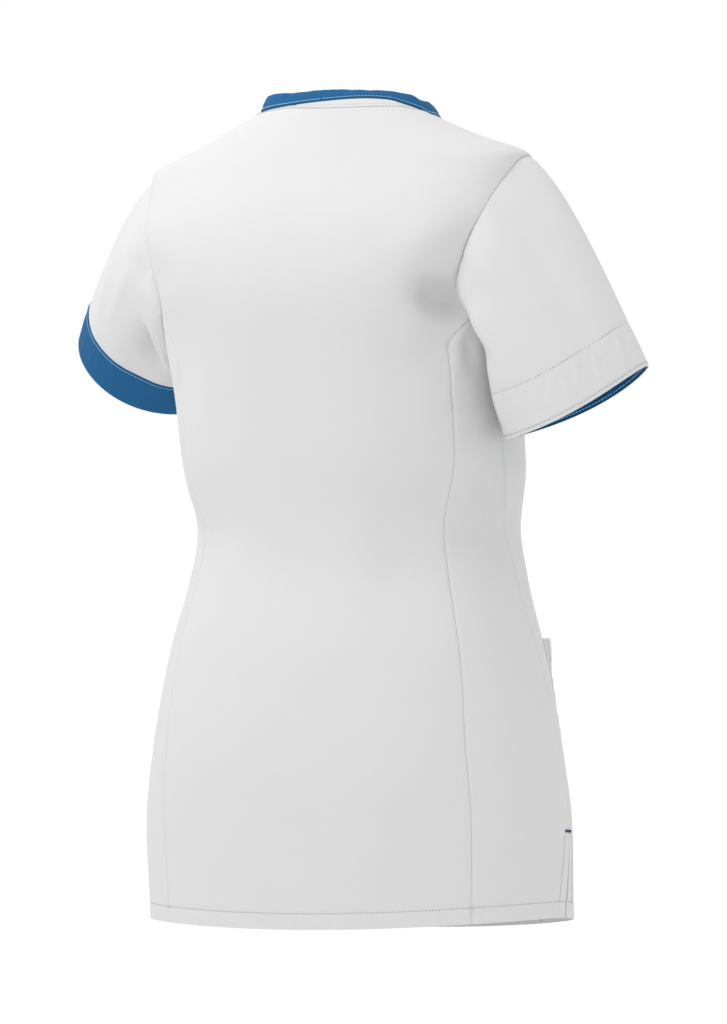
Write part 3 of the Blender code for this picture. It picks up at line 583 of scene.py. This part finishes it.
def cloth(name, colour, shade, weave, sheen, pitch=0.00085):
    """Plain-woven cloth: yarns over and under, slightly uneven, from the cloth's own map."""
    material, nodes, links = new_material(name)
    shader = nodes["Principled BSDF"]
    uv = nodes.new("ShaderNodeUVMap")
    uv.uv_map = "cloth"
    place = nodes.new("ShaderNodeSeparateXYZ")
    links.new(uv.outputs["UV"], place.inputs[0])

    def math_node(kind, *values):
        node = nodes.new("ShaderNodeMath")
        node.operation = kind
        for socket, value in zip(node.inputs, values):
            if isinstance(value, (int, float)):
                socket.default_value = value
            else:
                links.new(value, socket)
        return node.outputs[0]

    def noise_node(scale, detail):
        node = nodes.new("ShaderNodeTexNoise")
        node.inputs["Scale"].default_value = scale
        node.inputs["Detail"].default_value = detail
        links.new(uv.outputs["UV"], node.inputs["Vector"])
        return node.outputs["Fac"]

    slub, cloud = noise_node(420.0, 3.0), noise_node(26.0, 2.0)
    turn = 2 * math.pi / pitch
    warp = math_node("SINE", math_node("MULTIPLY", place.outputs["X"], turn))
    weft = math_node("SINE", math_node("MULTIPLY", place.outputs["Y"], turn))
    over = math_node("MULTIPLY", warp, weft)
    uneven = math_node("MULTIPLY", math_node("SUBTRACT", slub, 0.5), 2.4)
    relief = math_node("ADD", over, uneven)
    bump = nodes.new("ShaderNodeBump")
    bump.inputs["Strength"].default_value = weave
    bump.inputs["Distance"].default_value = 0.00025
    links.new(relief, bump.inputs["Height"])
    links.new(bump.outputs["Normal"], shader.inputs["Normal"])
    mixed = math_node("ADD", math_node("MULTIPLY", over, 0.16), math_node(
        "ADD", math_node("MULTIPLY", slub, 0.55), math_node("MULTIPLY", cloud, 0.45)))
    colour_between(nodes, links, mixed, shade, colour)
    for socket, value in (("Roughness", 0.86), ("Specular IOR Level", 0.22),
                          ("Sheen Weight", sheen), ("Sheen Roughness", 0.5)):
        shader.inputs[socket].default_value = value
    return material


def thread(name, colour):
    """Twisted sewing thread."""
    material, nodes, links = new_material(name)
    where = nodes.new("ShaderNodeTexCoord")
    twist = nodes.new("ShaderNodeTexWave")
    twist.inputs["Scale"].default_value = 900.0
    twist.inputs["Distortion"].default_value = 1.5
    links.new(where.outputs["Object"], twist.inputs["Vector"])
    colour_between(nodes, links, twist.outputs["Fac"], [0.82 * c for c in colour], colour)
    nodes["Principled BSDF"].inputs["Roughness"].default_value = 0.6
    return material


WHITE = cloth("white_cloth", (0.68, 0.68, 0.68), (0.64, 0.64, 0.64), 0.30, 0.06)
BLUE = cloth("blue_cloth", (0.009, 0.122, 0.298), (0.006, 0.095, 0.243), 0.55, 0.02)
# The white sewing thread is coloured grey, darker than the cloth: painted shade of the stitch
# holes it sinks into, not the thread's own white.
SHADED_GREY_THREAD = thread("white_thread_painted_shade", (0.48, 0.50, 0.53))
PALE_THREAD = thread("pale_blue_thread", (0.22, 0.50, 0.72))
NAVY_THREAD = thread("navy_thread", (0.012, 0.030, 0.085))

# Body panels.

SEAM_ROLL, NECK_ROLL, ARMHOLE_ROLL = 0.0011, 0.8, 0.35
GAP, MOST_SLANT, ARMHOLE_GAP = 0.00008, 1.4, 0.0004
NECK_RUN, FAR_OFF, ROW_RISE = 0.10, 9, 0.00005


def ease(count, ends=0.6):
    """Places from 0 to 1, closer together towards both ends."""
    t = np.linspace(0, 1, count)
    return t - ends * np.sin(2 * math.pi * t) / (2 * math.pi)


# Share of a low panel edge at each row, closer together at the hem.
LOW_ROWS = np.concatenate([np.linspace(0, 0.055, 16)[:-1], np.linspace(0.055, 1, 120)])


def seam_step(angle, height):
    """Angle that moves a point half the sewn gap square off the seam, down its column."""
    run = np.linalg.norm(torso(angle + 0.001, height) - torso(angle, height), axis=-1) / 0.001
    slant = run * np.gradient(angle, axis=0) / np.gradient(height, axis=0)
    return GAP * np.hypot(1, np.clip(slant, -MOST_SLANT, MOST_SLANT)) / run


def vent(height):
    """How far each side edge stands back from the side seam, in metres."""
    return VENT_OPEN * smooth((VENT_TOP - height) / VENT_FADE)


def crescent(angle):
    """Depth of the narrow piece between the back and the neckband."""
    share = (angle - STRIP_CENTRE) / STRIP_HALF
    return STRIP_DEEP * np.cos(0.5 * math.pi * np.clip(share, -1, 1))


def rolled(angle, height, roll, material, name, faces):
    """Body piece whose sewn edges roll in by roll metres."""
    normal = torso_normal(angle, height, relief=True)
    outer = body_point(angle, height) - roll[..., None] * normal
    uv = np.stack([angle * BODY_RUN, height + 0 * angle], -1)
    return shell(name, outer, outer - WALL * normal, faces, material, uv)


def edge_roll(distance):
    """Inward roll at a distance from a sewn edge."""
    return SEAM_ROLL * np.exp(-(np.clip(distance, 0, 1) / 0.0016)**1.3)


def back_centre():
    arm_angle, arm_height = armhole_seam(np.linspace(BACK_JOIN, 0, 48)[1:])
    low = HEM + LOW_ROWS * (ARMHOLE[BACK_JOIN].height - HEM)
    ridge = np.concatenate([np.linspace(TIP, -0.010, 16)[1:], np.linspace(-0.010, 0, 8)[1:]])
    height = np.concatenate([low, arm_height, ridge])
    edge = np.concatenate([seam_angle(BACK_PRINCESS, low), arm_angle, np.zeros(len(ridge))])
    edge = edge + seam_step(edge, height)
    across = ease(121)
    angle = edge[:, None] + (math.pi - 2 * edge[:, None]) * across
    height = height[:, None] + 0 * angle
    off = np.minimum(angle - edge[:, None], math.pi - edge[:, None] - angle) * BACK_RUN
    roll = edge_roll(off) * np.where(height > low[-1], ARMHOLE_ROLL, 1)
    drop = smooth((height + STRIP_FADE) / STRIP_FADE)
    roll = np.maximum(roll, NECK_ROLL * edge_roll(-height))
    height = height - drop * crescent(angle)
    return rolled(angle, height, roll, WHITE, "cloth_back_centre", grid_faces(*angle.shape))


def side_grid(edge_seam, join, edge_sign):
    across = ease(45)
    top_angle, top_height = armhole_seam(join + across * (SIDE_JOIN - join))
    rows = LOW_ROWS[:, None]
    height = HEM + rows * (top_height - HEM)
    near = seam_angle(edge_seam, height)
    near = near + edge_sign * seam_step(near, height)
    far = seam_angle(SIDE, height)
    far = far - edge_sign * (seam_step(far, height) + vent(height) / SIDE_RUN)
    share_top = np.clip((top_angle - near[-1]) / (far[-1] - near[-1]), 0, 1)
    share_top[0], share_top[-1] = 0, 1
    share = across + smooth((rows - 0.75) / 0.25) * (share_top - across)
    angle = near + share * (far - near)
    open_side = FAR_OFF * (height < VENT_TOP - 0.004)
    off = np.minimum(np.abs(angle - near), np.abs(far - angle) + open_side) * SIDE_PANEL_RUN
    roll = np.maximum(edge_roll(off), ARMHOLE_ROLL * edge_roll(top_height - height))
    return angle, height, roll


def front_angle_at(x, height):
    """Front angle where the form is at distance x from the centre."""
    angles = np.linspace(-math.pi / 2, 0.0, 400)
    return np.array([np.interp(xi, torso(angles, hi)[:, 0], angles)
                     for xi, hi in zip(np.atleast_1d(x), np.atleast_1d(height))])


def v_edge(height):
    """Front angle of the V neckline at a height."""
    x = table([v[0] for v in V_NECK], [v[1] for v in V_NECK], height)
    return front_angle_at(x, height)


def front_rows():
    """Heights and side edge angles of the front centre, hem to neck, and the V row."""
    low = HEM + LOW_ROWS * (ARMHOLE[FRONT_JOIN].height - HEM)
    arm_angle, arm_height = armhole_seam(np.linspace(FRONT_JOIN, len(ARMHOLE), 53)[1:])
    # Rows keep rising up to the shoulder tip, so that no row of the V neckline turns back.
    arm_height = np.minimum(arm_height, TIP - ROW_RISE * np.arange(len(arm_height))[::-1])
    ridge = np.linspace(TIP, 0.0, 17)[1:]
    height = np.concatenate([low, arm_height, ridge])
    edge = np.concatenate([seam_angle(FRONT_PRINCESS, low), arm_angle, np.zeros(len(ridge))])
    split = int(np.argmin(np.abs(height - V_NECK[-1][0])))
    return height, edge - seam_step(edge, height), split


def front_centre():
    height, edge, split = front_rows()
    centre = np.full(len(height), -math.pi / 2)
    centre[split + 1:] = v_edge(height[split + 1:])
    across = ease(59)
    left = edge[:, None] + (centre - edge)[:, None] * across
    tall = height[:, None] + 0 * left
    off = np.abs(left - edge[:, None]) * FRONT_RUN
    neck = np.abs(left - centre[:, None]) * NECK_RUN + FAR_OFF * (tall < height[split])
    arm = np.where(tall > ARMHOLE[FRONT_JOIN].height, ARMHOLE_ROLL, 1)
    roll = np.maximum(arm * edge_roll(off), NECK_ROLL * edge_roll(neck))
    rows, cols = left.shape
    right = -math.pi - left
    angle = np.concatenate([left.ravel(), right.ravel()])
    both = np.concatenate([tall.ravel(), tall.ravel()])
    roll = np.concatenate([roll.ravel(), roll.ravel()])
    n = rows * cols
    faces = grid_faces(rows, cols)
    same = np.arange(2 * n)
    for i in range(split + 1):
        same[n + i * cols + cols - 1] = i * cols + cols - 1
    faces = np.concatenate([faces, same[faces[:, ::-1] + n]])
    used, faces = np.unique(faces, return_inverse=True)
    return rolled(angle[used], both[used], roll[used], WHITE, "cloth_front_centre",
                  faces.reshape(-1, 4))


def body_panels():
    pieces = {"back_centre": back_centre(), "front_centre": front_centre()}
    for side, word in ((1, "left"), (-1, "right")):
        for name, seam, join, sign in (("back_side", BACK_PRINCESS, BACK_JOIN, -1),
                                       ("front_side", FRONT_PRINCESS, FRONT_JOIN, 1)):
            angle, height, roll = side_grid(seam, join, sign)
            if side < 0:
                angle = math.pi - angle
            pieces[f"{name}_{word}"] = rolled(
                angle, height, roll, WHITE, f"cloth_{name}_{word}", grid_faces(*angle.shape))
    return pieces


# Sleeves and cuffs.

def sleeve_shell(name, sleeve, first, last, proud, thick, rows, material, rolls=(1, 1)):
    cols = 150
    turn = np.arange(cols) / cols
    start = ARMHOLE_GAP + 0 * turn if first is None else cuff_place(sleeve, turn, first)
    end = cuff_place(sleeve, turn, last)
    along = start + (end - start) * ease(rows, 0.5)[:, None]
    turn, along = np.broadcast_arrays(turn, along)
    normal = sleeve_normal(sleeve, turn, along, sleeve_point)
    up = edge_distance(sleeve, turn, along)
    ends = np.maximum(rolls[0] * edge_roll(up[0] - up), rolls[1] * edge_roll(up - up[-1]))
    outer = sleeve_point(sleeve, turn, along) + (proud - ends)[..., None] * normal
    inward = normal.copy()
    if first is None:
        seam_normal = torso_normal(*sleeve_seam(sleeve, turn[0]))
        share = np.clip((seam_normal * normal[0]).sum(-1, keepdims=True) / 0.3, 0, 1)
        inward[0] = unit(share * seam_normal + (1 - share) * normal[0])
    uv = np.stack([turn * SLEEVE_RING, up], -1)
    return shell(name, outer, outer - thick * inward, grid_faces(*turn.shape, closed=True),
                 material, uv, SLEEVE_RING)


def sleeves():
    over, under = CUFF_BAND + GAP, CUFF_BAND - GAP
    facing = -(WALL + FACING_APART)
    return {
        "sleeve_left": sleeve_shell("cloth_sleeve_left", SLEEVE_LEFT, None, over, 0, WALL, 60,
                                    WHITE, (0.9, 0.5)),
        "cuff_left": sleeve_shell("cloth_cuff_left", SLEEVE_LEFT, under, 0, 0.0004, 0.0016,
                                  24, BLUE, (0.8, 0.6)),
        "sleeve_right": sleeve_shell("cloth_sleeve_right", SLEEVE_RIGHT, None, 0, 0, WALL,
                                     80, WHITE, (0.25, 0.4)),
        "cuff_facing_right": sleeve_shell("cloth_cuff_facing_right", SLEEVE_RIGHT, CUFF_BAND,
                                          0, facing, FACING_WALL, 20, BLUE,
                                          (0.5, 0.5)),
    }


# Neckline.

def neckline():
    """Half of the neckline, centre back to V point: places 0 to 2, angles and heights."""
    height, _, split = front_rows()
    down = height[:split - 1:-1]
    front = v_edge(down)
    front[-1] = -math.pi / 2
    run = np.linalg.norm(np.diff(torso(front, down), axis=0), axis=1).cumsum()
    back = np.linspace(0, 1, 46)[:-1]
    place = np.concatenate([back, [1], 1 + run / run[-1]])
    angle = np.concatenate([math.pi / 2 + back * (front[0] - math.pi / 2), front])
    return place, angle, np.concatenate([0 * back, down])


def band_edges(width, side):
    """Bottom and top edge points of one half of the neckband, mitred at the V."""
    place, angle, height = neckline()
    low = even_torso(angle, height)
    normal = torso_normal(angle, height)
    on_form = unit(np.cross(unit(np.gradient(low, axis=0)), normal))
    radial = unit(low * np.array([1, 1, 0]) - np.array([0, NECK_Y, 0]))
    round_neck = angle if side > 0 else math.pi - angle
    lean = np.radians(neck_value("lean", round_neck))[:, None]
    stand = np.array([0, 0, 1.0]) * np.cos(lean) - radial * np.sin(lean)
    share = smooth((place - 1.0) / 0.55)[:, None]
    top = low + width * unit((1 - share) * stand + share * on_form)
    last = int(np.argmax(top[:, 0] < 0)) if (top[1:, 0] < 0).any() else len(top) - 1
    a, b = top[last - 1], top[last]
    line = np.concatenate([top[place >= 1][:last - np.sum(place < 1)],
                           [a + (b - a) * a[0] / (a[0] - b[0])]])
    line_run = np.linalg.norm(np.diff(line, axis=0), axis=1).cumsum()
    line_place = np.concatenate([[1], 1 + line_run / line_run[-1]])
    for k in range(3):
        top[place >= 1, k] = np.interp(place[place >= 1], line_place, line[:, k])
    top[[0, -1], 0] = 0
    low[[0, -1], 0] = 0
    for edge in (low, top):
        edge[:, 2] += worn_lift(round_neck, height)
        edge[:, 0] *= side
    return low, top


def whole_loop(left, right):
    """Whole loop: centre back, left side, front, right side."""
    return np.concatenate([left, right[1:-1][::-1]])


def band_surface(steps):
    """Neckband points and normals at shares of its width, round the whole neck."""
    left, right = band_edges(NECK_WIDTH, 1), band_edges(NECK_WIDTH, -1)
    low, top = whole_loop(left[0], right[0]), whole_loop(left[1], right[1])
    share = np.asarray(steps)[:, None]
    rows = low + (top - low) * share[..., None]
    along = np.roll(rows, -1, axis=1) - np.roll(rows, 1, axis=1)
    rise = np.broadcast_to(top - low, rows.shape)
    normal = unit(np.cross(along, rise))
    if normal[0, 0, 1] < 0:
        normal = -normal
    run = np.concatenate([[0], np.linalg.norm(np.diff(rows[0], axis=0), axis=1).cumsum()])
    wave = 0.0004 * ripple(run * 0.55, 3.0) * share
    bulge = 0.0004 + 0.0005 * np.sin(math.pi * share)
    outer = rows + (wave + bulge)[..., None] * normal
    outer[..., 2] += 0.0006 * ripple(run * 0.16, 0.9) * share * (rows[..., 1] > 0.03)
    return outer, normal, run


def neck_pieces():
    steps = np.concatenate([[0.015], np.linspace(0.06, 0.94, 9), [1.0]])
    outer, normal, run = band_surface(steps)
    ends = edge_roll(np.minimum(steps - 0.015, 1 - steps) * NECK_WIDTH)[:, None, None]
    outer = outer - 0.55 * ends * normal
    uv = np.stack(np.broadcast_arrays(run[None, :], steps[:, None] * NECK_WIDTH), -1)
    band = shell("cloth_neckband", outer, outer - 0.0016 * normal,
                 grid_faces(*outer.shape[:2], closed=True), BLUE, uv,
                 float(run[-1]) + 0.003)
    reach = 0.90 * STRIP_HALF
    angle = STRIP_CENTRE + np.linspace(-reach, reach, 90)
    low = -crescent(angle) + STRIP_APART
    rows = np.linspace(0, 1, 6)[:, None]
    height = low + rows * (-STRIP_APART - low)
    angle = np.broadcast_to(angle, height.shape)
    roll = 0.6 * edge_roll(np.minimum(height - low, -height)) + 0.0002
    strip = rolled(angle, height, roll, WHITE, "cloth_back_neck_strip",
                   grid_faces(*angle.shape))
    return {"neckband": band, "back_neck_strip": strip}


# Pockets.

def pocket_surface(side, across, rise):
    """Outer and inner pocket cloth, and its normals, on either side of the front."""
    across, rise = np.broadcast_arrays(np.asarray(across, float), np.asarray(rise, float))
    height = POCKET_LOW + POCKET_TALL * rise
    outer_edge = POCKET_OUTER - POCKET_TAPER * smooth((1 - rise) / 0.35)
    angle = outer_edge + (POCKET_INNER - outer_edge) * across
    open_top = smooth((rise - 0.78) / 0.22) * np.clip(np.sin(math.pi * across), 0, 1)**0.35
    lift = 0.0002 + POCKET_GAPE * open_top + 0.0008 * smooth(rise * 6) * smooth(across * 8)
    if side < 0:
        angle = math.pi - angle
    normal = torso_normal(angle, height)
    edge = np.minimum(np.minimum(across, 1 - across) * 0.15, rise * POCKET_TALL)
    puff = 0.0004 * (1 - bell(edge, 0, 0.002))
    puff = puff + 0.0004 * ripple((across + rise) * 0.16, 1.3) * bell(edge, 0, 0.012)
    inner = body_point(angle, height) + lift[..., None] * normal
    outer = inner + (0.0010 + puff)[..., None] * normal
    return outer, inner, normal


def pockets():
    pieces = {}
    for side, word in ((1, "left"), (-1, "right")):
        across, rise = ease(46)[None, :], ease(50)[:, None]
        outer, inner, _ = pocket_surface(side, across, rise)
        uv = np.stack(np.broadcast_arrays(across * POCKET_WIDE, rise * POCKET_TALL), -1)
        pieces[f"pocket_{word}"] = shell(f"cloth_pocket_{word}", outer, inner,
                                         grid_faces(*outer.shape[:2]), WHITE,
                                         uv)
    return pieces


# Sewing.

def on_body(angle, height):
    angle, height = np.broadcast_arrays(np.asarray(angle, float), np.asarray(height, float))
    return body_point(angle, height), torso_normal(angle, height)


def hem_lines():
    """Hem stitching round the body, stopping at the vents."""
    height = HEM + HEM_STITCH
    reach = (vent(height) + 0.0004) / SIDE_RUN
    side = float(seam_angle(SIDE, height))
    back = np.linspace(side + reach, math.pi - side - reach, 900)
    front = np.linspace(side - reach, -math.pi - side + reach, 900)
    return [on_body(back, height), on_body(front, height)]


def vent_lines():
    lines = []
    height = np.linspace(HEM + HEM_STITCH, VENT_TOP - 0.002, 90)
    for mirror in (False, True):
        for sign in (-1, 1):
            angle = seam_angle(SIDE, height) + sign * (vent(height) + VENT_STITCH) / SIDE_RUN
            lines.append(on_body(math.pi - angle if mirror else angle, height))
    return lines


def sleeve_line(sleeve, distance, shift=0.0):
    """Line round a sleeve at a cloth distance up from the cuff edge."""
    turn = np.linspace(0, 1, 500)
    along = cuff_place(sleeve, turn, distance)
    normal = sleeve_normal(sleeve, turn % 1, along)
    return sleeve_point(sleeve, turn % 1, along) + shift * normal, normal


def bartack(name, mirror):
    """Dense bar of thread that closes the top of a side vent."""
    lines = []
    for height in VENT_TOP + np.linspace(0, BAR_TALL, 12):
        span = float(seam_angle(SIDE, height)) + np.linspace(*BAR_REACH, 24) / SIDE_RUN
        lines.append(on_body(math.pi - span if mirror else span, height))
    return stitches(name, lines, NAVY_THREAD, "blue_cloth", 0.0046, 0.0001, 0.00030, 0.0004)


def sewing(pieces):
    hem = stitches("stitches_hem", hem_lines(), SHADED_GREY_THREAD, "white_cloth")
    vents = stitches("stitches_vents", vent_lines(), SHADED_GREY_THREAD, "white_cloth")
    cuff = stitches("stitches_sleeve_right",
                    [sleeve_line(SLEEVE_RIGHT, up) for up in (SLEEVE_HEM, EDGE_STITCH)],
                    SHADED_GREY_THREAD, "white_cloth")
    left = stitches("stitches_cuff_left",
                    [sleeve_line(SLEEVE_LEFT, CUFF_BAND - BAND_STITCH, 0.0005)], PALE_THREAD,
                    "blue_cloth", **PIPED)
    inside = sleeve_line(SLEEVE_RIGHT, FACING_STITCH, -(WALL + FACING_APART + FACING_WALL))
    facing = stitches("stitches_facing_right", [(inside[0], -inside[1])], PALE_THREAD,
                      "blue_cloth", **PIPED)
    outer, normal, _ = band_surface([BAND_SHARE])
    loop = np.concatenate([outer[0], outer[0][:1]]), np.concatenate([normal[0], normal[0][:1]])
    neck = stitches("stitches_neckband", [loop], PALE_THREAD, "blue_cloth", **PIPED)
    angle = np.linspace(0.20, math.pi - 0.20, 300)
    under = stitches("stitches_back_neck", [on_body(angle, -crescent(angle) - STRIP_STITCH)],
                     SHADED_GREY_THREAD, "white_cloth")
    lines = []
    for side in (1, -1):
        run = np.linspace(0, 1, 200)
        for across, rise in ((POCKET_STITCH, run), (1 - POCKET_STITCH, run), (run, 0.012),
                             (run, 0.89)):
            outer, _, normal = pocket_surface(side, across, rise)
            lines.append((outer, normal))
    pocket = stitches("stitches_pockets", lines, SHADED_GREY_THREAD, "white_cloth")
    bars = [bartack("bartack_right", True), bartack("bartack_left", False)]
    return {"back_centre": [hem, under], "back_side_right": [vents] + bars,
            "sleeve_right": [cuff], "cuff_left": [left], "cuff_facing_right": [facing],
            "neckband": [neck], "pocket_right": [pocket]}


pieces = {**body_panels(), **sleeves(), **neck_pieces(), **pockets()}
on_piece = sewing(pieces)
for node, piece in pieces.items():
    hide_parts(node)

# Columns for a cloth piece as it was cut: widest, longest and area in metres.
Cut = namedtuple("Cut", "width length area")

# Stage, light and camera.

def floor():
    mesh = bpy.data.meshes.new("floor")
    radius, level = 3.0, -1.0
    ring = [(radius * math.cos(a), radius * math.sin(a), level)
            for a in np.linspace(0, 2 * math.pi, 64, endpoint=False)]
    mesh.from_pydata(ring, [], [tuple(range(64))])
    material, nodes, _ = new_material("floor")
    shader = nodes["Principled BSDF"]
    shader.inputs["Base Color"].default_value = (0.90, 0.90, 0.90, 1.0)
    shader.inputs["Roughness"].default_value = 0.9
    mesh.materials.append(material)
    placed("floor", mesh)


def area_light(name, place, target, size, power):
    light = bpy.data.lights.new(name, "AREA")
    light.shape = "DISK"
    light.size = size
    light.energy = power
    item = placed(name, light)
    item.location = place
    item.rotation_euler = (Vector(target) - Vector(place)).to_track_quat("-Z", "Y").to_euler()


def camera():
    turn, rise, distance = math.radians(27.0), math.radians(-2.5), 6.6
    target = Vector((-0.003, -0.003, -0.3605))
    sensor, pixels_per_metre, pixels_tall = 36.0, 1100.0, 1024.0
    back = Vector((-math.sin(turn) * math.cos(rise), math.cos(turn) * math.cos(rise),
                   math.sin(rise)))
    data = bpy.data.cameras.new("camera")
    data.sensor_width = sensor
    data.lens = sensor * pixels_per_metre * distance / pixels_tall
    data.clip_end = 50.0
    item = placed("camera", data)
    item.location = target + back * distance
    item.rotation_euler = (-back).to_track_quat("-Z", "Y").to_euler()
    bpy.context.scene.camera = item


floor()
world = bpy.data.worlds.new("studio")
world.use_nodes = True
room = world.node_tree.nodes["Background"]
room.inputs["Color"].default_value = (1, 1, 1, 1)
room.inputs["Strength"].default_value = 1.02
bpy.context.scene.world = world
bpy.context.scene.view_settings.view_transform = "Standard"
area_light("key", (0.80, 0.95, 1.30), (0.0, 0.0, -0.20), 1.0, 14.0)
camera()
